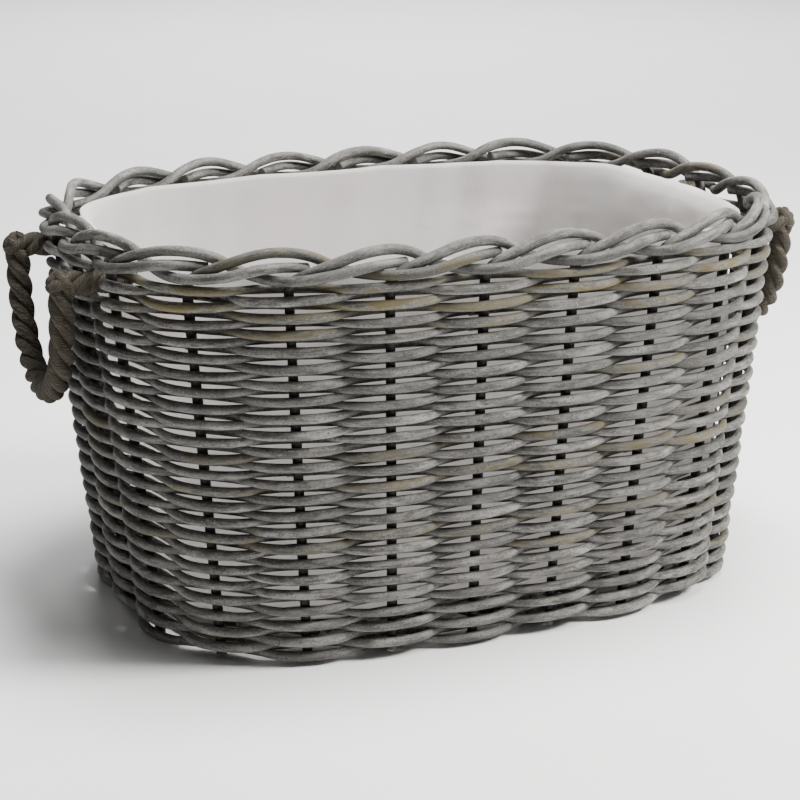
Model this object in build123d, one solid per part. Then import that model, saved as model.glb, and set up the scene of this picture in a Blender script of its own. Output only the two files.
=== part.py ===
from build123d import *
import math
import os

# Oval log basket of grey willow: +Z up, origin at the centre of the floor contact, +X along the
# length.  Sizes in millimetres.

# Overall shape of the line on which the stakes stand
TOP_HALF_LENGTH = 300.0
TOP_HALF_WIDTH = 210.0
FOOT_HALF_LENGTH = 264.0
FOOT_HALF_WIDTH = 187.0
TOP_POWER = 2.95  # superellipse power: 2 is an ellipse, more is squarer
FOOT_POWER = 3.3

# Stakes and woven wall
STAKE_COUNT = 22
STAKE_PHASE = 0.174  # share of one bay from the +X end to the first stake
STAKE_DIAMETER = 8.2
WEAVER_DIAMETER = 6.6
LEVEL_COUNT = 46  # two levels make one row: each stake has a weaver in front on every second one
LEVEL_GAP = 0.2
TIP_LENGTH = 4.2  # stake below the lowest weaver: the basket stands on these tips
ROD_CLEARANCE = 0.2
RUN_END_ROOM = 6.0  # along the end of the basket, from a rope to the cut end of a weaver

# Border: route of each stake past the top of the wall, as bays along, and stake diameters outward
# and up
BORDER_ROUTE = [
    (0.0, 0.0, 0.3902),
    (0.351, 0.7317, 1.9512),
    (0.78, 0.3049, 3.2317),
    (1.214, -0.9756, 2.6707),
    (1.55, -1.0976, 0.8537),
    (1.965, 1.3902, 0.5244),
    (2.398, 1.4634, 0.9756),
    (2.843, 1.0732, 2.0),
    (3.19, -0.9878, 1.4878),
]
BEND_SHARE = 0.45  # share of the shorter run that each bend takes up

# Base
HOOP_DIAMETER = 9.0
STICK_DIAMETER = 9.0
STICK_COUNT = 9
STICK_PITCH = 50.0

# Rope handles
ROPE_DIAMETER = 21.0
ROPE_CLEARANCE = 0.6
ROPE_MOUTH_GAP = 2.0  # between a loop's end and the held stretch, so that the loop can swing inward
ROPE_INNER_RADIUS = 16.0
# Route of a hanging loop from its middle: outward to the leg, and down from the swing axis
ROPE_ROUTE = [(22.0, 104.0), (58.0, 80.0), (76.0, 42.0)]

# Lining
LINING_THICKNESS = 2.0
LINING_GAP = 1.2
LINING_RISE = 12.0  # above the top of the woven wall

LEVEL_PITCH = WEAVER_DIAMETER + LEVEL_GAP
WALL_BOTTOM = TIP_LENGTH
WALL_TOP = WALL_BOTTOM + LEVEL_COUNT * LEVEL_PITCH
WEAVE_OFFSET = (STAKE_DIAMETER + WEAVER_DIAMETER) / 2 + ROD_CLEARANCE
WALL_HALF = WEAVE_OFFSET + WEAVER_DIAMETER / 2
BORDER_OUT = STAKE_DIAMETER * (max(out for _, out, _ in BORDER_ROUTE) + 0.5)
BORDER_IN = STAKE_DIAMETER * (max(-out for _, out, _ in BORDER_ROUTE) + 0.5)

ROPE_AXIS_Z = WALL_TOP - ROPE_DIAMETER / 2 - 2 * ROPE_CLEARANCE
ROPE_AXIS_X = -(TOP_HALF_LENGTH + BORDER_OUT + ROPE_DIAMETER / 2 + ROPE_CLEARANCE)

HOOP_Z = WALL_BOTTOM + HOOP_DIAMETER / 2
STICK_Z = HOOP_Z + (HOOP_DIAMETER + STICK_DIAMETER) / 2 + ROD_CLEARANCE
BASE_WEAVE_OFFSET = (STICK_DIAMETER + WEAVER_DIAMETER) / 2 + ROD_CLEARANCE
BASE_TOP = STICK_Z + BASE_WEAVE_OFFSET + WEAVER_DIAMETER / 2


def superellipse(half_length, half_width, power, turn):
    """Point of a superellipse at a parameter turn, in radians."""
    c, s = math.cos(turn), math.sin(turn)
    x = math.copysign(abs(c) ** (2 / power), c)
    y = math.copysign(abs(s) ** (2 / power), s)
    return Vector(half_length * x, half_width * y)


def spaced_oval(half_length, half_width, power, count, phase=0.0):
    """Points evenly spaced along an oval, anticlockwise, the first one phase spaces past +X."""
    fine = 2880
    outline = [superellipse(half_length, half_width, power, 2 * math.pi * k / fine) for k in range(fine + 1)]
    run = [0.0]
    for a, b in zip(outline, outline[1:]):
        run.append(run[-1] + (b - a).length)
    points = []
    k = 0
    for i in range(count):
        target = run[-1] * ((i + phase) % count) / count
        if run[k] > target:
            k = 0
        while run[k + 1] < target:
            k += 1
        share = (target - run[k]) / (run[k + 1] - run[k])
        points.append(outline[k] + (outline[k + 1] - outline[k]) * share)
    return points


STAKE_FEET = spaced_oval(FOOT_HALF_LENGTH, FOOT_HALF_WIDTH, FOOT_POWER, STAKE_COUNT, STAKE_PHASE)
STAKE_HEADS = spaced_oval(TOP_HALF_LENGTH, TOP_HALF_WIDTH, TOP_POWER, STAKE_COUNT, STAKE_PHASE)


def stake_line(height):
    """Where every stake's centre is at a height."""
    share = height / WALL_TOP
    return [a + (b - a) * share + Vector(0, 0, height) for a, b in zip(STAKE_FEET, STAKE_HEADS)]


def outward(points, i):
    """Level direction out of the basket at stake i."""
    along = points[(i + 1) % len(points)] - points[i - 1]
    return Vector(along.Y, -along.X).normalized()


def bend_radii(points, closed=False):
    """Radius for each corner of a route, as large as its two runs allow."""
    count = len(points)
    corners = range(count) if closed else range(1, count - 1)
    radii = []
    for i in corners:
        run_in = points[i] - points[i - 1]
        run_out = points[(i + 1) % count] - points[i]
        turn = math.radians(run_in.get_angle(run_out))
        radii.append(BEND_SHARE * min(run_in.length, run_out.length) / math.tan(turn / 2))
    return radii


def rod(points, diameter, closed=False, radii=None):
    """Round rod along straight runs joined by tangent arcs."""
    radii = radii or bend_radii(points, closed)
    route = FilletPolyline(*points, radius=radii, close=closed)
    section = Plane(origin=route @ 0, z_dir=route % 0) * Circle(diameter / 2)
    return sweep(section, path=route)


def straight_rod(start, end, diameter):
    """Straight round rod between two centres."""
    axis = end - start
    return extrude(Plane(origin=start, z_dir=axis) * Circle(diameter / 2), amount=axis.length)


def woven_route(points, sides, offset, directions):
    """Corners of a weaver whose bends just clear each stake on the given side of it."""
    reach = [offset] * len(points)
    closed = len(points) == STAKE_COUNT
    ends = () if closed else ((0, 1), (-1, -2))
    for _ in range(6):
        corners = [p + d * (s * r) for p, d, s, r in zip(points, directions, sides, reach)]
        inner = range(len(points)) if closed else range(1, len(points) - 1)
        for i in inner:
            run_in = corners[i] - corners[i - 1]
            run_out = corners[(i + 1) % len(corners)] - corners[i]
            turn = math.radians(run_in.get_angle(run_out))
            bulge = 1 if (run_in - run_out).dot(directions[i]) > 0 else -1
            tangent = BEND_SHARE * min(run_in.length, run_out.length)
            sagitta = tangent * math.tan(turn / 4)
            reach[i] = offset + sides[i] * bulge * sagitta
        for i, beside in ends:
            slant = (corners[beside] - corners[i]).normalized().dot(directions[i])
            reach[i] = offset / math.sqrt(1 - slant**2)
    return corners


def level_height(level):
    """Height of a level's weaver centre."""
    return WALL_BOTTOM + LEVEL_PITCH * (level + 0.5)


def rope_bays():
    """Stakes beside which a rope passes: the runs of a broken level go from one to the next."""
    end = STAKE_COUNT // 2
    return [(1, end - 2), (end - 1, end), (end + 1, STAKE_COUNT - 2), (STAKE_COUNT - 1, STAKE_COUNT)]


def weave_level(level):
    """Weaver or weavers of one level: a ring, or four runs where the ropes pass through."""
    height = level_height(level)
    points = stake_line(height)
    out = [outward(points, i) for i in range(STAKE_COUNT)]
    sides = [1 if (i + level) % 2 == 0 else -1 for i in range(STAKE_COUNT)]
    if height < ROPE_AXIS_Z - (ROPE_DIAMETER + WEAVER_DIAMETER) / 2 - ROPE_CLEARANCE:
        return [rod(woven_route(points, sides, WEAVE_OFFSET, out), WEAVER_DIAMETER, closed=True)]
    runs = []
    for first, last in rope_bays():
        index = [i % STAKE_COUNT for i in range(first, last + 1)]
        end, beyond = index[-1], (last + 1) % STAKE_COUNT
        bay = points[beyond] - points[end]
        share = 1 - (STAKE_DIAMETER / 2 + ROPE_DIAMETER + RUN_END_ROOM) / abs(bay.Y)
        run_points = [points[i] for i in index] + [points[end] + bay * share]
        run_sides = [sides[i] for i in index] + [sides[end] * (1 - 2 * share)]
        corners = woven_route(run_points, run_sides, WEAVE_OFFSET, [out[i] for i in index] + [out[end]])
        runs.append(rod(corners, WEAVER_DIAMETER))
    return runs


def stake(i):
    """One upright stake: round tip under the wall, straight up it, then plaited into the border."""
    heads = [h + Vector(0, 0, WALL_TOP) for h in STAKE_HEADS]
    foot = stake_line(STAKE_DIAMETER / 2)[i]
    points = [foot]
    for bays, out, up in BORDER_ROUTE:
        whole = math.floor(bays)
        a, b = (i + whole) % STAKE_COUNT, (i + whole + 1) % STAKE_COUNT
        share = bays - whole
        base = heads[a] + (heads[b] - heads[a]) * share
        side = (outward(heads, a) * (1 - share) + outward(heads, b) * share).normalized()
        points.append(base + (side * out + Vector(0, 0, up)) * STAKE_DIAMETER)
    return rod(points, STAKE_DIAMETER) + Pos(foot) * Sphere(STAKE_DIAMETER / 2)


def oval_at(height, inset):
    """Half length, half width and power of the stake line at a height, drawn in by an inset."""
    share = height / WALL_TOP
    half_length = FOOT_HALF_LENGTH + (TOP_HALF_LENGTH - FOOT_HALF_LENGTH) * share - inset
    half_width = FOOT_HALF_WIDTH + (TOP_HALF_WIDTH - FOOT_HALF_WIDTH) * share - inset
    power = FOOT_POWER + (TOP_POWER - FOOT_POWER) * share
    return half_length, half_width, power


def oval_half_chord(oval, x=None, y=None):
    """Half of the oval's chord across a given x, or along a given y."""
    half_length, half_width, power = oval
    if x is not None:
        return half_width * (1 - abs(x / half_length) ** power) ** (1 / power)
    return half_length * (1 - abs(y / half_width) ** power) ** (1 / power)


def base_hoop():
    """Rod hoop inside the foot of the wall that carries the ends of the base sticks."""
    oval = oval_at(HOOP_Z, WALL_HALF + HOOP_DIAMETER / 2 + 2 * ROD_CLEARANCE)
    points = [p + Vector(0, 0, HOOP_Z) for p in spaced_oval(*oval, STAKE_COUNT, 0.5)]
    return rod(points, HOOP_DIAMETER, closed=True)


def stick_places():
    """Places of the base sticks along the length."""
    return [STICK_PITCH * (k - (STICK_COUNT - 1) / 2) for k in range(STICK_COUNT)]


def base_sticks():
    """Thick sticks across the basket, their ends lying on the hoop."""
    oval = oval_at(STICK_Z, WALL_HALF + STICK_DIAMETER / 2)
    sticks = []
    for x in stick_places():
        reach = oval_half_chord(oval, x=x) - STICK_DIAMETER / 2
        sticks.append(straight_rod(Vector(x, -reach, STICK_Z), Vector(x, reach, STICK_Z), STICK_DIAMETER))
    return sticks


def base_weavers():
    """Rods woven lengthwise over and under the base sticks, filling the oval inside the hoop."""
    oval = oval_at(STICK_Z, WALL_HALF + HOOP_DIAMETER + 1.5 * WEAVER_DIAMETER)
    half_count = int(oval[1] // LEVEL_PITCH)
    weavers = []
    for k in range(-half_count, half_count + 1):
        y = k * LEVEL_PITCH
        reach = oval_half_chord(oval, y=y) if abs(y) < oval[1] else 0
        crossed = [x for x in stick_places() if abs(x) < reach - STICK_DIAMETER]
        if len(crossed) < 2:
            continue
        sides = [1 if (round(x / STICK_PITCH) + k) % 2 == 0 else -1 for x in crossed]
        reach = min(reach, crossed[-1] + STICK_PITCH - STICK_DIAMETER)
        past = 1 - 2 * (reach - crossed[-1]) / STICK_PITCH
        places = [-reach] + crossed + [reach]
        sides = [past * sides[0]] + sides + [past * sides[-1]]
        points = [Vector(x, y, STICK_Z) for x in places]
        corners = woven_route(points, sides, BASE_WEAVE_OFFSET, [Vector(0, 0, 1)] * len(points))
        weavers.append(rod(corners, WEAVER_DIAMETER))
    return weavers


def oval_face(oval, height):
    """Flat oval face at a height."""
    outline = [p + Vector(0, 0, height) for p in spaced_oval(*oval, 4 * STAKE_COUNT)]
    return make_face(Spline(*outline, periodic=True))


def rope_inside_x():
    """Centre of the left rope behind the wall: just clear of the weavers between its two legs."""
    end = STAKE_COUNT // 2
    stakes = stake_line(ROPE_AXIS_Z)
    wall = max(stakes[end - 1].X, stakes[end].X) + WALL_HALF
    return wall + ROPE_DIAMETER / 2 + 2 * ROPE_CLEARANCE


def lining_oval(height, inset):
    """Oval of the lining's outer side: close to the sides, and clear of the ropes at the ends."""
    half_length, half_width, power = oval_at(height, 0)
    share = height / WALL_TOP
    foot_inset = BORDER_IN + LINING_GAP
    rope_inset = TOP_HALF_LENGTH + rope_inside_x() + ROPE_DIAMETER / 2 + LINING_GAP
    end_inset = foot_inset + (rope_inset - foot_inset) * share
    return half_length - end_inset - inset, half_width - foot_inset - inset, power


def lining_wall():
    """Side of the fabric bag: a thin flared oval tube open at both ends."""
    bottom = BASE_TOP + LINING_GAP
    top = WALL_TOP + LINING_RISE
    outer = loft([oval_face(lining_oval(bottom, 0), bottom), oval_face(lining_oval(top, 0), top)])
    over, under = top + LINING_THICKNESS, bottom - LINING_THICKNESS
    inner = loft(
        [
            oval_face(lining_oval(under, LINING_THICKNESS), under),
            oval_face(lining_oval(over, LINING_THICKNESS), over),
        ]
    )
    return outer - inner


def lining_base():
    """Bottom of the fabric bag: a thin oval sheet inside the lining wall's foot."""
    bottom = BASE_TOP + LINING_GAP
    oval = lining_oval(bottom, LINING_THICKNESS + ROD_CLEARANCE)
    return extrude(oval_face(oval, bottom), amount=LINING_THICKNESS)


def rope_legs():
    """Where the two legs of the left rope pass the wall, each beside a stake at the end."""
    end = STAKE_COUNT // 2
    beside = (STAKE_DIAMETER + ROPE_DIAMETER) / 2 + ROPE_CLEARANCE
    stakes = stake_line(ROPE_AXIS_Z)
    return stakes[end + 1].Y + beside, stakes[end - 1].Y + beside


def rope_loop():
    """Free part of the left rope: a hanging loop with rounded ends on the swing axis."""
    near, far = rope_legs()
    middle = (near + far) / 2
    corners = [(near, 0)] + [(middle - out, down) for out, down in reversed(ROPE_ROUTE)]
    corners += [(middle + out, down) for out, down in ROPE_ROUTE] + [(far, 0)]
    points = [Vector(ROPE_AXIS_X, y, ROPE_AXIS_Z - down) for y, down in corners]
    print("rope loop bend radii", [round(r, 1) for r in bend_radii(points)])
    loop = rod(points, ROPE_DIAMETER)
    for y in (near, far):
        loop += Pos(ROPE_AXIS_X, y, ROPE_AXIS_Z) * Sphere(ROPE_DIAMETER / 2)
    return loop


def rope_inside():
    """Held part of the left rope: through the wall, along behind the lining and out again."""
    near, far = rope_legs()
    mouth = ROPE_AXIS_X + ROPE_DIAMETER / 2 + ROPE_MOUTH_GAP
    inside = rope_inside_x()
    route = [(mouth, near), (inside, near), (inside, far), (mouth, far)]
    points = [Vector(x, y, ROPE_AXIS_Z) for x, y in route]
    return rod(points, ROPE_DIAMETER, radii=[ROPE_INNER_RADIUS] * 2)


def write(node, solids):
    """Write one sub-part's solids to its own STEP file."""
    solids = solids if isinstance(solids, list) else [solids]
    pieces = [s for shape in solids for s in shape.solids()]
    export_step(Compound(children=pieces) if len(pieces) > 1 else pieces[0], f"parts/{node}.step")


os.makedirs("parts", exist_ok=True)
for i in range(STAKE_COUNT):
    write(f"stake_{i + 1:02d}", stake(i))
for row in range(LEVEL_COUNT // 2):
    write(f"weave_row_{row + 1:02d}", weave_level(2 * row) + weave_level(2 * row + 1))
write("base_hoop", base_hoop())
write("base_sticks", base_sticks())
write("base_weavers", base_weavers())
write("lining_wall", lining_wall())
write("lining_base", lining_base())
for node, rope in (("rope_inside", rope_inside()), ("rope_loop", rope_loop())):
    write(f"{node}_left", rope)
    write(f"{node}_right", Rot(0, 0, 180) * rope)
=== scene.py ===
import math

import bpy
import numpy as np
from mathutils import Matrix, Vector


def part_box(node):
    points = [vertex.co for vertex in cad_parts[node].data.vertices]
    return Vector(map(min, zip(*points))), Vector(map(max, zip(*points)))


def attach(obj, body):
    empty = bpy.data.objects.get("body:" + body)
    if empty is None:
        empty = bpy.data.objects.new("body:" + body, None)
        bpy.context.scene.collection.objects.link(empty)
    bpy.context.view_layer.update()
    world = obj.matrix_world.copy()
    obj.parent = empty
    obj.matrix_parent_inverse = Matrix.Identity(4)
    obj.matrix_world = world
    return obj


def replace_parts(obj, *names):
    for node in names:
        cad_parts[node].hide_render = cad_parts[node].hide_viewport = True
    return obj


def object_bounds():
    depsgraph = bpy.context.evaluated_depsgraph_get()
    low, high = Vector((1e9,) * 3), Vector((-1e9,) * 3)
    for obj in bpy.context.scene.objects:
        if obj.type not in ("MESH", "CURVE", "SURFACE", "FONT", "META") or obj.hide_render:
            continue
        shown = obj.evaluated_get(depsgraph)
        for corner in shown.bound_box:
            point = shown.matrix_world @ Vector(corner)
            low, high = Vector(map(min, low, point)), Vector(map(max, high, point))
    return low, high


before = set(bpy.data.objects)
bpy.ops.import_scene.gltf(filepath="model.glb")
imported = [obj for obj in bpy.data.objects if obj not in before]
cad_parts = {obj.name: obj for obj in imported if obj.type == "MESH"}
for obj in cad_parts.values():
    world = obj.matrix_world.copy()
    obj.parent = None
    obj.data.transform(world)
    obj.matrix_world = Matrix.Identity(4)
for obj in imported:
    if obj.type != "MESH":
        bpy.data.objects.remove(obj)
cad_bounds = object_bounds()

# Sizes are in metres.  Half length, half width and power of the line the stakes stand on
TOP_OVAL = (0.300, 0.210, 2.95)
FOOT_OVAL = (0.264, 0.187, 3.3)
STAKE_NODES = sorted(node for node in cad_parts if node.startswith("stake_"))
ROW_NODES = sorted(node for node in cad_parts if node.startswith("weave_row_"))
STAKE_COUNT = len(STAKE_NODES)
STAKE_PHASE = 0.174  # bays from +X to the first stake
STAKE_RADIUS = 0.0041
WEAVER_RADIUS = 0.0042
PRESSED_RADIUS = 0.0035  # where a weaver passes between stakes
WEAVE_OFFSET = 0.0079  # from the stake line to a weaver's centre
WALL_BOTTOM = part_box(ROW_NODES[0])[0][2] - 0.0001
WALL_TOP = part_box(ROW_NODES[-1])[1][2] + 0.0001
LEVEL_PITCH = (WALL_TOP - WALL_BOTTOM) / (2 * len(ROW_NODES))

# Border route of each stake above the wall: bays along, outward and up
BORDER_ROUTE = [
    (0.0, 0.0, 0.0032),
    (0.351, 0.0060, 0.0160),
    (0.78, 0.0025, 0.0265),
    (1.214, -0.0080, 0.0219),
    (1.55, -0.0090, 0.0070),
    (1.965, 0.0114, 0.0043),
    (2.398, 0.0120, 0.0080),
    (2.843, 0.0088, 0.0164),
    (3.19, -0.0081, 0.0122),
]

ROPE_DIAMETER = 0.021
STRAND_RADIUS = 0.0051
STRAND_ORBIT = 0.0055
ROPE_LAY = 0.057  # length of one turn of a strand
ROPE_CORNER = 0.020
ROPE_STEP = 0.0015
YARN_TWIST = 260.0
# Half of a loop from its bottom up: outward from its middle and down from the swing axis
ROPE_ROUTE = [(0.022, 0.104), (0.058, 0.080), (0.076, 0.042)]

LINING_FOLD = 0.0060
LINING_WAVES = ((5, 0.30), (9, 0.26), (14, 0.20), (23, 0.14), (37, 0.10))  # folds round, size
LINING_INSET = 0.0128
LINING_CLOTH = 0.0009
STAKE_STEP = 0.0035

# Dark, middle and light tones of the bark
WEAVER_TONES = ((0.070, 0.067, 0.058, 1), (0.255, 0.250, 0.230, 1), (0.430, 0.425, 0.405, 1))
# The stakes' tones are a little darker than the weavers': painted shade for where the stakes stand
# behind the weave, which also darkens their border.
STAKE_TONES = ((0.070, 0.067, 0.058, 1), (0.225, 0.220, 0.202, 1), (0.380, 0.375, 0.355, 1))
BASE_TONES = ((0.10, 0.095, 0.08, 1), (0.26, 0.255, 0.235, 1), (0.40, 0.395, 0.37, 1))

FLOOR_HALF_SIDE = 8.0

rng = np.random.default_rng(7)


# ---------------------------------------------------------------- camera

def make_camera():
    """Camera at the photograph's angle: a little to the left of the front, looking slightly down."""
    azimuth, elevation, distance = math.radians(-22.9), math.radians(16.15), 1.815
    back = Vector((math.sin(azimuth) * math.cos(elevation), -math.cos(azimuth) * math.cos(elevation),
                   math.sin(elevation)))
    right = Vector((0, 0, 1)).cross(back).normalized()
    up = back.cross(right)
    middle = Vector((0, 0, 0.1725))
    aim = middle - right * 0.0087 - up * 0.0187
    data = bpy.data.cameras.new("camera")
    data.sensor_width = 36
    data.lens = 91.85
    camera = bpy.data.objects.new("camera", data)
    bpy.context.scene.collection.objects.link(camera)
    camera.location = middle + back * distance
    camera.rotation_euler = (aim - camera.location).to_track_quat("-Z", "Y").to_euler()
    bpy.context.scene.camera = camera


# ---------------------------------------------------------------- materials

class Nodes:
    """Short hand for building a material's node tree."""

    def __init__(self, name):
        self.material = bpy.data.materials.new(name)
        self.material.use_nodes = True
        self.tree = self.material.node_tree
        self.shader = self.tree.nodes["Principled BSDF"]

    def add(self, kind, inputs=(), **settings):
        node = self.tree.nodes.new(kind)
        for key, value in settings.items():
            setattr(node, key, value)
        for key, value in dict(inputs).items():
            if isinstance(value, bpy.types.NodeSocket):
                self.tree.links.new(value, node.inputs[key])
            else:
                node.inputs[key].default_value = value
        return node

    def noise(self, vector, scale, detail=4.0, roughness=0.55):
        inputs = {"Vector": vector, "Scale": scale, "Detail": detail, "Roughness": roughness}
        return self.add("ShaderNodeTexNoise", inputs).outputs["Fac"]

    def stretch(self, vector, scale):
        return self.add("ShaderNodeMapping", {"Vector": vector, "Scale": scale}).outputs["Vector"]

    def ramp(self, value, low, high, bottom=0.0, top=1.0):
        inputs = {"Value": value, "From Min": low, "From Max": high, "To Min": bottom, "To Max": top}
        return self.add("ShaderNodeMapRange", inputs).outputs["Result"]

    def mix(self, factor, a, b, blend="MIX"):
        node = self.tree.nodes.new("ShaderNodeMix")
        node.data_type = "RGBA"
        node.blend_type = blend
        for socket, value in zip((node.inputs[0], node.inputs[6], node.inputs[7]), (factor, a, b)):
            if isinstance(value, bpy.types.NodeSocket):
                self.tree.links.new(value, socket)
            else:
                socket.default_value = value
        return node.outputs[2]

    def math(self, operation, a, b=0.0):
        node = self.tree.nodes.new("ShaderNodeMath")
        node.operation = operation
        for socket, value in zip(node.inputs, (a, b)):
            if isinstance(value, bpy.types.NodeSocket):
                self.tree.links.new(value, socket)
            else:
                socket.default_value = value
        return node.outputs[0]

    def bump(self, height, distance, strength=1.0, normal=None):
        inputs = {"Height": height, "Distance": distance, "Strength": strength}
        if normal:
            inputs["Normal"] = normal
        return self.add("ShaderNodeBump", inputs).outputs["Normal"]

    def finish(self, color, roughness, normal):
        for key, value in (("Base Color", color), ("Roughness", roughness), ("Normal", normal)):
            if isinstance(value, bpy.types.NodeSocket):
                self.tree.links.new(value, self.shader.inputs[key])
            else:
                self.shader.inputs[key].default_value = value
        return self.material


def willow(name, dark, mid, light, has_bark=True):
    """Weathered grey willow: streaks, pale flecks, dark specks, smudges and a tint for each rod, whose
    tone on the stakes also holds painted shade.
    """
    n = Nodes(name)
    if has_bark:
        bark = n.add("ShaderNodeAttribute", attribute_name="bark").outputs["Vector"]
        tint = n.add("ShaderNodeAttribute", attribute_name="tint").outputs["Color"]
        split = n.add("ShaderNodeSeparateColor", {"Color": tint}).outputs
        tone, olive, cut = split[0], split[1], split[2]
    else:
        bark = n.add("ShaderNodeTexCoord").outputs["Object"]
        tone = n.noise(n.stretch(bark, (3.0, 147.0, 60.0)), 1.0, 0.0)
        olive, cut = n.ramp(tone, 0.62, 0.72), 0.0
    streak = n.noise(n.stretch(bark, (900.0, 900.0, 55.0)), 1.0, 5.0, 0.6)
    patch = n.noise(n.stretch(bark, (150.0, 150.0, 38.0)), 1.0, 3.0, 0.5)
    fleck = n.noise(n.stretch(bark, (1000.0, 1000.0, 420.0)), 1.0, 2.0, 0.5)
    speck = n.noise(n.stretch(bark, (760.0, 760.0, 520.0)), 1.0, 3.0, 0.65)
    color = n.mix(n.ramp(streak, 0.34, 0.66), dark, mid)
    color = n.mix(n.ramp(patch, 0.42, 0.70), color, light)
    color = n.mix(n.ramp(fleck, 0.60, 0.70, 0.0, 0.55), color, (0.60, 0.59, 0.56, 1))
    color = n.mix(n.ramp(speck, 0.56, 0.64, 0.0, 0.80), color, (0.040, 0.036, 0.030, 1))
    # Dark smudges along the rods, denser in broad patches set by place on the basket.
    place = n.add("ShaderNodeTexCoord").outputs["Object"]
    smudge_spread = n.noise(n.stretch(place, (7.0, 7.0, 9.0)), 1.0, 2.0, 0.5)
    smudge = n.noise(n.stretch(bark, (380.0, 380.0, 95.0)), 1.0, 5.0, 0.75)
    dark_smudge_mask = n.math("MULTIPLY", n.ramp(smudge_spread, 0.40, 0.62, 0.35, 1.0),
                  n.ramp(smudge, 0.49, 0.60, 0.0, 0.85))
    color = n.mix(dark_smudge_mask, color, (0.050, 0.045, 0.034, 1))
    color = n.mix(n.math("MULTIPLY", olive, n.ramp(patch, 0.46, 0.58, 0.05, 1.0)), color,
                  (0.150, 0.118, 0.036, 1))
    # The tone sets how grey the rod is; on the stakes it also holds painted shade inside the wall.
    shade = n.ramp(tone, 0.0, 1.0, 0.12, 0.78)
    grey = n.add("ShaderNodeCombineColor", {"Red": shade, "Green": shade, "Blue": shade}).outputs[0]
    color = n.mix(1.0, color, grey, "MULTIPLY")
    color = n.mix(cut, color, (0.105, 0.098, 0.084, 1))
    normal = n.bump(streak, 0.00035, 0.7)
    normal = n.bump(speck, 0.00030, 0.6, normal)
    normal = n.bump(patch, 0.0008, 0.5, normal)
    return n.finish(color, n.ramp(streak, 0.3, 0.7, 0.62, 0.86), normal)


def rope_fibre():
    """Coarse brown fibre: yarns twisted against the lay of the strands, with tan highlights."""
    n = Nodes("rope_fibre")
    yarn = n.add("ShaderNodeAttribute", attribute_name="yarn").outputs["Vector"]
    bark = n.add("ShaderNodeAttribute", attribute_name="bark").outputs["Vector"]
    split = n.add("ShaderNodeSeparateXYZ", {"Vector": yarn}).outputs
    groove = n.math("ABSOLUTE", n.math("SINE", n.math("MULTIPLY", split[0], 7.0)))
    fibre = n.noise(n.stretch(yarn, (5.0, 26.0, 1.0)), 1.0, 6.0, 0.75)
    patch = n.noise(n.stretch(bark, (120.0, 120.0, 60.0)), 1.0, 3.0)
    color = n.mix(n.ramp(fibre, 0.40, 0.62), (0.032, 0.026, 0.018, 1), (0.150, 0.124, 0.084, 1))
    color = n.mix(n.ramp(fibre, 0.56, 0.68, 0.0, 0.8), color, (0.44, 0.385, 0.275, 1))
    color = n.mix(n.ramp(patch, 0.45, 0.75, 0.0, 0.5), color, (0.080, 0.066, 0.046, 1))
    # Painted shade in the grooves between the yarns.
    color = n.mix(n.ramp(groove, 0.0, 0.55, 0.85, 0.0), color, (0.025, 0.018, 0.012, 1))
    normal = n.bump(groove, 0.0016, 0.9)
    normal = n.bump(fibre, 0.0014, 1.0, normal)
    return n.finish(color, 0.88, normal)


def lining_cotton():
    """Off-white woven cotton, faintly pink in places, with a fine plain weave."""
    n = Nodes("lining_cotton")
    place = n.add("ShaderNodeAttribute", attribute_name="cloth").outputs["Vector"]
    split = n.add("ShaderNodeSeparateXYZ", {"Vector": place}).outputs
    warp = n.math("SINE", n.math("MULTIPLY", split[0], 2 * math.pi / 0.0009))
    weft = n.math("SINE", n.math("MULTIPLY", split[1], 2 * math.pi / 0.0009))
    weave = n.math("MULTIPLY", warp, weft)
    slub = n.noise(n.stretch(place, (900.0, 60.0, 1.0)), 1.0, 3.0)
    patch = n.noise(n.stretch(place, (9.0, 6.0, 1.0)), 1.0, 4.0)
    color = n.mix(n.ramp(patch, 0.35, 0.65), (0.86, 0.845, 0.825, 1), (0.86, 0.80, 0.79, 1))
    color = n.mix(n.ramp(slub, 0.45, 0.72, 0.0, 0.35), color, (0.64, 0.62, 0.60, 1))
    # Painted shade in the hollows of the weave.
    color = n.mix(n.ramp(weave, -1.0, 0.2, 0.22, 0.0), color, (0.52, 0.50, 0.48, 1))
    normal = n.bump(weave, 0.00025, 0.5)
    normal = n.bump(slub, 0.0004, 0.4, normal)
    n.shader.inputs["Sheen Weight"].default_value = 0.15
    through = n.add("ShaderNodeBsdfTranslucent", {"Color": (0.94, 0.93, 0.92, 1)}).outputs["BSDF"]
    both = n.add("ShaderNodeMixShader", {"Fac": 0.48, 1: n.shader.outputs["BSDF"], 2: through})
    n.tree.links.new(both.outputs["Shader"], n.tree.nodes["Material Output"].inputs["Surface"])
    return n.finish(color, 0.92, normal)


def floor_paint():
    """Pale matte studio floor with a very faint mottling."""
    n = Nodes("floor_paint")
    place = n.add("ShaderNodeTexCoord").outputs["Object"]
    mottle = n.noise(place, 3.0)
    color = n.mix(n.ramp(mottle, 0.3, 0.7), (0.86, 0.86, 0.855, 1), (0.89, 0.89, 0.885, 1))
    return n.finish(color, 0.7, n.bump(mottle, 0.0005, 0.1))


# ---------------------------------------------------------------- lines and rods

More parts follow.
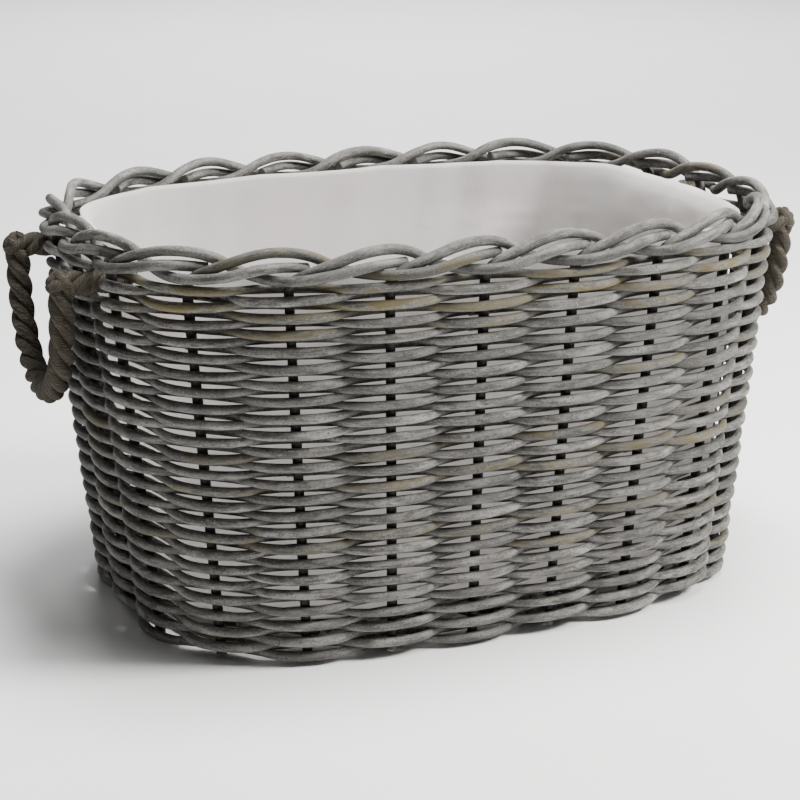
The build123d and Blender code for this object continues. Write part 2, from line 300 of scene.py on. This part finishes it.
def spaced_oval(half_length, half_width, power, count, phase=0.0):
    """Points evenly spaced along a superellipse, anticlockwise, the first one phase spaces past +X."""
    turn = np.linspace(0, 2 * math.pi, 2881)
    c, s = np.cos(turn), np.sin(turn)
    outline = np.stack([half_length * np.sign(c) * np.abs(c) ** (2 / power),
                        half_width * np.sign(s) * np.abs(s) ** (2 / power)], 1)
    run = np.concatenate([[0], np.cumsum(np.linalg.norm(np.diff(outline, axis=0), axis=1))])
    target = run[-1] * ((np.arange(count) + phase) % count) / count
    return np.stack([np.interp(target, run, outline[:, k]) for k in range(2)], 1)


FINE = 24  # places in each bay
FINE_FEET = spaced_oval(*FOOT_OVAL, STAKE_COUNT * FINE, STAKE_PHASE * FINE)
FINE_HEADS = spaced_oval(*TOP_OVAL, STAKE_COUNT * FINE, STAKE_PHASE * FINE)


def wall_frame(bays, height):
    """Points on the stake line and level directions outward, at places counted in bays."""
    bays, height = np.broadcast_arrays(np.asarray(bays, float), np.asarray(height, float))
    share = (height / WALL_TOP)[:, None]
    fine = STAKE_COUNT * FINE

    def at(places):
        k = np.floor(places * FINE).astype(int)
        part = (places * FINE - k)[:, None]
        feet = FINE_FEET[k % fine] * (1 - part) + FINE_FEET[(k + 1) % fine] * part
        heads = FINE_HEADS[k % fine] * (1 - part) + FINE_HEADS[(k + 1) % fine] * part
        return feet * (1 - share) + heads * share

    points, along = at(bays), at(bays + 0.1) - at(bays - 0.1)
    along /= np.linalg.norm(along, axis=1, keepdims=True)
    flat = np.zeros((len(bays), 1))
    return (np.hstack([points, height[:, None]]),
            np.hstack([along[:, 1:2], -along[:, 0:1], flat]))


def smooth(part):
    """A share from 0 to 1, eased at both ends."""
    return part * part * (3 - 2 * part)


def run_along(line):
    """Distance along a line to each of its points."""
    return np.concatenate([[0], np.cumsum(np.linalg.norm(np.diff(line, axis=0), axis=1))])


def wander(count, spacing, size):
    """Smooth random wave through a new random value every few samples."""
    values = rng.normal(size=int(count / spacing) + 3) * size
    place = np.arange(count) / spacing
    k = place.astype(int)
    part = smooth(place - k)
    return values[k] * (1 - part) + values[k + 1] * part


def resample(points, step):
    """The same line with points at an even step."""
    run = run_along(points)
    places = np.linspace(0, run[-1], max(4, int(run[-1] / step)))
    return np.stack([np.interp(places, run, points[:, k]) for k in range(3)], 1)


def nurbs_line(points, step):
    """Smooth line with the given control points, read from a NURBS spline."""
    data = bpy.data.curves.new("route", "CURVE")
    data.dimensions = "3D"
    data.resolution_u = 24
    spline = data.splines.new("NURBS")
    spline.points.add(len(points) - 1)
    for place, point in zip(spline.points, points):
        place.co = (*point, 1)
    spline.order_u = 3
    spline.use_endpoint_u = True
    holder = bpy.data.objects.new("route", data)
    mesh = bpy.data.meshes.new_from_object(holder)
    line = np.array([v.co for v in mesh.vertices])
    bpy.data.objects.remove(holder)
    bpy.data.curves.remove(data)
    bpy.data.meshes.remove(mesh)
    return resample(line, step)


def tangents(line):
    t = np.gradient(line, axis=0)
    return t / np.linalg.norm(t, axis=1, keepdims=True)


def carried(line, start):
    """Directions across a line, carried along it without twist."""
    t = tangents(line)
    across = [np.asarray(start, float)]
    for k in range(len(line)):
        a = across[-1] - t[k] * np.dot(across[-1], t[k])
        across.append(a / np.linalg.norm(a))
    return np.array(across[1:])


class Rods:
    """Round rods gathered into one mesh, with bark coordinates and a tint on each; the tint's tone can
    carry painted shade along a rod.
    """

    def __init__(self):
        self.verts, self.faces, self.bark, self.tint, self.yarn = [], [], [], [], []
        self.count = 0

    def add(self, line, radius, across, tint, sides=12, lumps=0.03, twist=0.0, shade=1.0):
        t = tangents(line)
        a = across - t * np.sum(across * t, axis=1, keepdims=True)
        a /= np.linalg.norm(a, axis=1, keepdims=True)
        b = np.cross(t, a)
        radius = np.broadcast_to(radius, len(line))
        run = run_along(line)
        shape = 1 + wander(len(line), 9, lumps)
        lean = wander(len(line), 14, 1.5)
        offset = rng.uniform(0, 40, 3)
        for j in range(sides):
            turn = 2 * math.pi * j / sides
            swell = radius * shape * (1 + lumps * np.cos(2 * turn + lean))
            ring = a * math.cos(turn) + b * math.sin(turn)
            self.verts.append(line + ring * swell[:, None])
            mean = float(np.mean(radius))
            self.bark.append(np.stack([offset[0] + mean * math.cos(turn) + 0 * run,
                                       offset[1] + mean * math.sin(turn) + 0 * run, offset[2] + run], 1))
            self.yarn.append(np.stack([turn + twist * run, run * 4.0, 0 * run], 1))
        size, first = len(line), self.count
        k = np.arange(size - 1)
        for j in range(sides):
            here, there = first + j * size + k, first + ((j + 1) % sides) * size + k
            self.faces.extend(zip(here, there, there + 1, here + 1))
        self.faces.append(tuple(first + j * size for j in reversed(range(sides))))
        self.faces.append(tuple(first + j * size + size - 1 for j in range(sides)))
        tints = np.tile([*tint, 0.0, 1.0], (size, 1))
        # Painted shade: where asked for, the tone is darkened along the rod.
        tints[:, 0] *= shade
        tints[0, 2] = tints[-1, 2] = 1.0
        self.tint.extend([tints] * sides)
        self.count += size * sides

    def build(self, name, material, body):
        mesh = bpy.data.meshes.new(name)
        faces = [tuple(map(int, face)) for face in self.faces]
        mesh.from_pydata(np.concatenate(self.verts).tolist(), [], faces)
        for key, kind, field, values in (("bark", "FLOAT_VECTOR", "vector", self.bark),
                                         ("yarn", "FLOAT_VECTOR", "vector", self.yarn),
                                         ("tint", "FLOAT_COLOR", "color", self.tint)):
            layer = mesh.attributes.new(key, kind, "POINT")
            layer.data.foreach_set(field, np.concatenate(values).astype(np.float32).ravel())
        mesh.polygons.foreach_set("use_smooth", [len(p.vertices) == 4 for p in mesh.polygons])
        mesh.materials.append(material)
        return place_piece(name, mesh, body)


def place_piece(name, mesh, body):
    piece = bpy.data.objects.new(name, mesh)
    bpy.context.scene.collection.objects.link(piece)
    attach(piece, body)
    return piece


def rod_tint():
    """Tone of a rod, and how olive it is: most are grey, about one in eight keeps some colour."""
    olive = rng.uniform(0.45, 0.9) if rng.random() < 0.13 else rng.uniform(0.0, 0.12)
    return rng.uniform(0.40, 0.90), olive


# ---------------------------------------------------------------- rope handles

def rope_strands(line, name, material, body, start):
    """Three strands laid left-handed round a line, their ends drawn in to a rounded end."""
    run = run_along(line)
    t = tangents(line)
    a = carried(line, start)
    b = np.cross(t, a)
    from_end = np.minimum(run, run[-1] - run) / (ROPE_DIAMETER / 2)
    drawn = np.sqrt(np.clip(1 - np.clip(1 - from_end, 0, 1) ** 2, 0.02, 1))
    rods = Rods()
    for k in range(3):
        turn = 2 * math.pi * (k / 3 - run / ROPE_LAY)
        way = a * np.cos(turn)[:, None] + b * np.sin(turn)[:, None]
        strand = line + way * (STRAND_ORBIT * drawn)[:, None]
        size = STRAND_RADIUS * (0.35 + 0.65 * drawn) * (1 + wander(len(line), 12, 0.025))
        rods.add(strand, size, way, (0.5, 0.0), 20, 0.02, YARN_TWIST)
    return rods.build(name, material, body)


def rope_handle(side, material):
    """One hanging loop, from one leg's top on the swing axis to the other's."""
    node = f"rope_loop_{side}"
    body = f"handle_{side}"
    low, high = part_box(node)
    x = (low[0] + high[0]) / 2
    top = high[2] - ROPE_DIAMETER / 2
    near, far = low[1] + ROPE_DIAMETER / 2, high[1] - ROPE_DIAMETER / 2
    middle = (near + far) / 2
    half = [(near, 0)] + [(middle - out, down) for out, down in reversed(ROPE_ROUTE)]
    route = half + [(2 * middle - y, down) for y, down in reversed(half)]
    points = [(x, y, top - down) for y, down in route]
    line = nurbs_line(points, ROPE_STEP)
    way = tangents(line)
    ends = [line[:1] - way[:1] * ROPE_DIAMETER / 2, line[-1:] + way[-1:] * ROPE_DIAMETER / 2]
    knuckled = resample(np.vstack([ends[0], line, ends[1]]), ROPE_STEP)
    loop = rope_strands(knuckled, f"rope_{side}", material, body, (1, 0, 0))
    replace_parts(loop, node)


def rope_inside(side, material):
    """The rope's held stretch: in through the wall, along behind the lining and out again."""
    node = f"rope_inside_{side}"
    low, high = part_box(node)
    loop_low, loop_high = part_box(f"rope_loop_{side}")
    inner = high[0] - ROPE_DIAMETER / 2 if side == "left" else low[0] + ROPE_DIAMETER / 2
    outer = (loop_low[0] + loop_high[0]) / 2
    outer += math.copysign(ROPE_DIAMETER / 2, outer)
    z = (low[2] + high[2]) / 2
    near, far = low[1] + ROPE_DIAMETER / 2, high[1] - ROPE_DIAMETER / 2
    points = [(outer, near, z), (inner, near, z), (inner, near + ROPE_CORNER, z),
              (inner, far - ROPE_CORNER, z), (inner, far, z), (outer, far, z)]
    line = nurbs_line(points, ROPE_STEP)
    held = rope_strands(line, f"rope_held_{side}", material, "basket", (0, 0, 1))
    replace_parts(held, node)


# ---------------------------------------------------------------- woven wall and border

def weaver_line(level, start, end):
    """Centre line of a weaver between two places, counted in bays, in and out of the stakes."""
    bays = np.linspace(start, end, max(8, int((end - start) * 17)))
    height = WALL_BOTTOM + LEVEL_PITCH * (level + 0.5)
    points, out = wall_frame(bays, height)
    side = np.sin(1.25 * np.cos(math.pi * (bays + level))) / math.sin(1.25)
    points = points + out * (WEAVE_OFFSET * side + wander(len(bays), 11, 0.0004))[:, None]
    points[:, 2] += wander(len(bays), 13, 0.0005)
    return points, out, np.abs(side)


def level_runs(level):
    """Start and end of each weaver of a level; the top levels leave room for the ropes."""
    rope_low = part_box("rope_inside_left")[0][2] - WEAVER_RADIUS
    if WALL_BOTTOM + LEVEL_PITCH * (level + 0.5) > rope_low:
        end, reach = STAKE_COUNT // 2, 0.64
        return [(1, end - 2 + reach), (end - 1, end + reach), (end + 1, STAKE_COUNT - 2 + reach),
                (STAKE_COUNT - 1, STAKE_COUNT + reach)]
    first = 2 * int(rng.integers(0, STAKE_COUNT // 2)) + 1 - level % 2
    middle = first + 2 * int(rng.integers(4, 8))
    return [(first - 0.12, middle + 0.12), (middle - 0.12, first + STAKE_COUNT + 0.12)]


def weave_rows(material):
    for row, node in enumerate(ROW_NODES):
        rods = Rods()
        for level in (2 * row, 2 * row + 1):
            for start, end in level_runs(level):
                line, out, side = weaver_line(level, start, end)
                taper = np.linspace(1.03, 0.94, len(line))
                radius = (PRESSED_RADIUS + (WEAVER_RADIUS - PRESSED_RADIUS) * side) * taper
                rods.add(line, radius * rng.uniform(0.95, 1.05), out, rod_tint())
        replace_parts(rods.build(f"row_{row + 1:02d}", material, "basket"), node)


def stake_line(i):
    """Line of one stake, from its tip up the wall and through the border."""
    low = np.array([STAKE_RADIUS, 0.08, 0.16, 0.24, WALL_TOP - 0.03, WALL_TOP - 0.010])
    points, _ = wall_frame(np.full(len(low), float(i)), low)
    route = np.array(BORDER_ROUTE)
    heads, out = wall_frame(i + route[:, 0], np.full(len(route), WALL_TOP))
    wobble = rng.normal(size=(len(route), 2)) * [0.0006, 0.0008]
    wobble[0] = 0
    border = heads + out * (route[:, 1:2] + wobble[:, 0:1])
    border[:, 2] += route[:, 2] + wobble[:, 1]
    return nurbs_line(np.vstack([points, border]), STAKE_STEP)


def stakes(material):
    for i, node in enumerate(STAKE_NODES):
        line = stake_line(i)
        _, out = wall_frame([float(i)], [0.0])
        radius = STAKE_RADIUS * np.interp(line[:, 2], [WALL_TOP - 0.02, WALL_TOP + 0.01], [1.0, 1.07])
        radius = radius * np.linspace(1.0, 0.97, len(line))
        rods = Rods()
        # Painted shade: the stake's tone goes dark inside the wall, where the weavers shade it, and back
        # to full above the wall top.
        shade = np.interp(line[:, 2], [WALL_TOP - 0.004, WALL_TOP + 0.012], [0.0, 1.0])
        rods.add(line, radius, carried(line, out[0]), rod_tint(), 14, shade=shade)
        piece = rods.build(f"stake_rod_{i + 1:02d}", material, "basket")
        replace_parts(piece, node)


# ---------------------------------------------------------------- lining

def lining_oval(height, bays, fold):
    """Places on the lining: close to the sides, clear of the ropes at the ends."""
    top_half_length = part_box("lining_wall")[1][0]
    points, out = wall_frame(bays, height)
    share = height / WALL_TOP
    over_rope = smooth(np.clip((share - 0.72) / 0.20, 0, 1))
    over_rope = over_rope * (1 - 0.55 * np.clip((share - 1) / 0.035, 0, 1))
    end_room = (TOP_OVAL[0] - top_half_length - LINING_INSET) * over_rope
    along = np.clip(np.abs(points[:, 0]) / (FOOT_OVAL[0] + (TOP_OVAL[0] - FOOT_OVAL[0]) * share), 0, 1)
    inset = LINING_INSET + end_room * along ** 9 + fold
    return points - out * inset[:, None]


def cloth_piece(name, verts, faces, cloth, material):
    """A piece of the lining from one face of the cloth, thickened to one side."""
    mesh = bpy.data.meshes.new(name)
    mesh.from_pydata(verts, [], faces)
    layer = mesh.attributes.new("cloth", "FLOAT_VECTOR", "POINT")
    layer.data.foreach_set("vector", np.asarray(cloth, np.float32).ravel())
    mesh.polygons.foreach_set("use_smooth", [True] * len(mesh.polygons))
    mesh.materials.append(material)
    piece = place_piece(name, mesh, "basket")
    thick = piece.modifiers.new("cloth", "SOLIDIFY")
    thick.thickness = LINING_CLOTH
    thick.offset = 1.0
    return piece


def lining_side(material):
    """Side of the fabric bag: a band of cloth with soft upright folds, looser near one end."""
    low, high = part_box("lining_wall")
    columns, rows = 440, 64
    bays = np.arange(columns) * STAKE_COUNT / columns
    fold = np.zeros(columns)
    loose = 1 + 1.4 * np.exp(-((bays - 3.2) / 1.3) ** 2)
    for waves, size in LINING_WAVES:
        fold += size * np.sin(2 * math.pi * (waves * np.arange(columns) / columns + rng.random()))
    verts, cloth = [], []
    perimeter = np.sum(np.linalg.norm(np.diff(spaced_oval(*TOP_OVAL, 200), axis=0), axis=1))
    for r in range(rows):
        share = r / (rows - 1)
        height = low[2] + 0.001 + (high[2] - low[2] - 0.002) * share
        slack = LINING_FOLD * (0.35 + 0.65 * math.sin(math.pi * min(share * 1.15, 1.0)))
        shift = int(6 * math.sin(share * 5.0))
        depth = slack * (1.0 + np.roll(fold, shift) * loose)
        depth = np.clip(depth, 0.0, None)
        dip = 0.0016 * np.sin(2 * math.pi * bays / 3.1) * share ** 4
        ring = lining_oval(np.full(columns, height), bays, depth)
        ring[:, 2] -= np.abs(dip)
        verts.append(ring)
        cloth.append(np.stack([bays / STAKE_COUNT * perimeter, np.full(columns, height), 0 * bays], 1))
    verts = np.concatenate(verts)
    faces = []
    for r in range(rows - 1):
        for c in range(columns):
            d = (c + 1) % columns
            below, above = r * columns, (r + 1) * columns
            faces.append((below + c, below + d, above + d, above + c))
    piece = cloth_piece("lining_side", verts.tolist(), faces, np.concatenate(cloth), material)
    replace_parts(piece, "lining_wall")


def lining_floor(material):
    """Bottom of the fabric bag: an oval sheet lying on the woven base, slightly creased."""
    low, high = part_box("lining_base")
    rings, columns = 40, 176
    bays = np.arange(columns) * STAKE_COUNT / columns
    rim, _ = wall_frame(bays, np.full(columns, low[2]))
    inset = 1 - (FOOT_OVAL[0] - high[0] + 0.004) / FOOT_OVAL[0]
    edge = rim[:, :2] * inset
    verts, cloth = [(0, 0, low[2] + 0.001)], [(0, 0, 0)]
    for r in range(1, rings + 1):
        share = r / rings
        for x, y in edge * share:
            crease = 0.0007 * math.sin(43 * x + 19 * y) * math.sin(31 * y - 12 * x) + 0.0009
            verts.append((x, y, low[2] + crease))
            cloth.append((x, y, 0))
    faces = [(0, 1 + c, 1 + (c + 1) % columns) for c in range(columns)]
    for r in range(rings - 1):
        first = 1 + r * columns
        for c in range(columns):
            d = (c + 1) % columns
            faces.append((first + c, first + columns + c, first + columns + d, first + d))
    piece = cloth_piece("lining_floor", verts, faces, cloth, material)
    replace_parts(piece, "lining_base")


# ---------------------------------------------------------------- base and studio

def base_nodes(material):
    for node in ("base_hoop", "base_sticks", "base_weavers"):
        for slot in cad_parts[node].material_slots:
            slot.material = material


def area_light(name, place, aim, size, power, color):
    data = bpy.data.lights.new(name, "AREA")
    data.size = size
    data.energy = power
    data.color = color
    light = bpy.data.objects.new(name, data)
    light.location = place
    light.rotation_euler = (Vector(aim) - Vector(place)).to_track_quat("-Z", "Y").to_euler()
    bpy.context.scene.collection.objects.link(light)


def studio():
    """Pale floor, soft light from the right and above, a weak fill, and a pale surround."""
    mesh = bpy.data.meshes.new("floor")
    side, z = FLOOR_HALF_SIDE, cad_bounds[0][2]
    corners = [(-side, -side, z), (side, -side, z), (side, side, z), (-side, side, z)]
    mesh.from_pydata(corners, [], [(0, 1, 2, 3)])
    mesh.materials.append(floor_paint())
    floor = bpy.data.objects.new("floor", mesh)
    bpy.context.scene.collection.objects.link(floor)
    area_light("key", (1.9, -1.0, 1.8), (0, 0, 0.2), 0.7, 145, (1.0, 0.985, 0.96))
    area_light("top", (0.25, -0.1, 2.2), (0.05, 0, 0.2), 1.0, 105, (1.0, 1.0, 1.0))
    area_light("backdrop", (1.6, 3.8, 2.6), (1.6, 3.8, 0), 3.0, 230, (1.0, 1.0, 1.0))
    world = bpy.data.worlds.new("surround")
    world.use_nodes = True
    world.node_tree.nodes["Background"].inputs["Color"].default_value = (1.0, 1.0, 1.0, 1)
    world.node_tree.nodes["Background"].inputs["Strength"].default_value = 0.14
    bpy.context.scene.world = world


make_camera()
fibre = rope_fibre()
for side in ("left", "right"):
    rope_handle(side, fibre)
    rope_inside(side, fibre)
weave_rows(willow("weaver_bark", *WEAVER_TONES))
stakes(willow("stake_bark_with_painted_shade", *STAKE_TONES))
cotton = lining_cotton()
lining_side(cotton)
lining_floor(cotton)
base_nodes(willow("base_bark", *BASE_TONES, False))
studio()
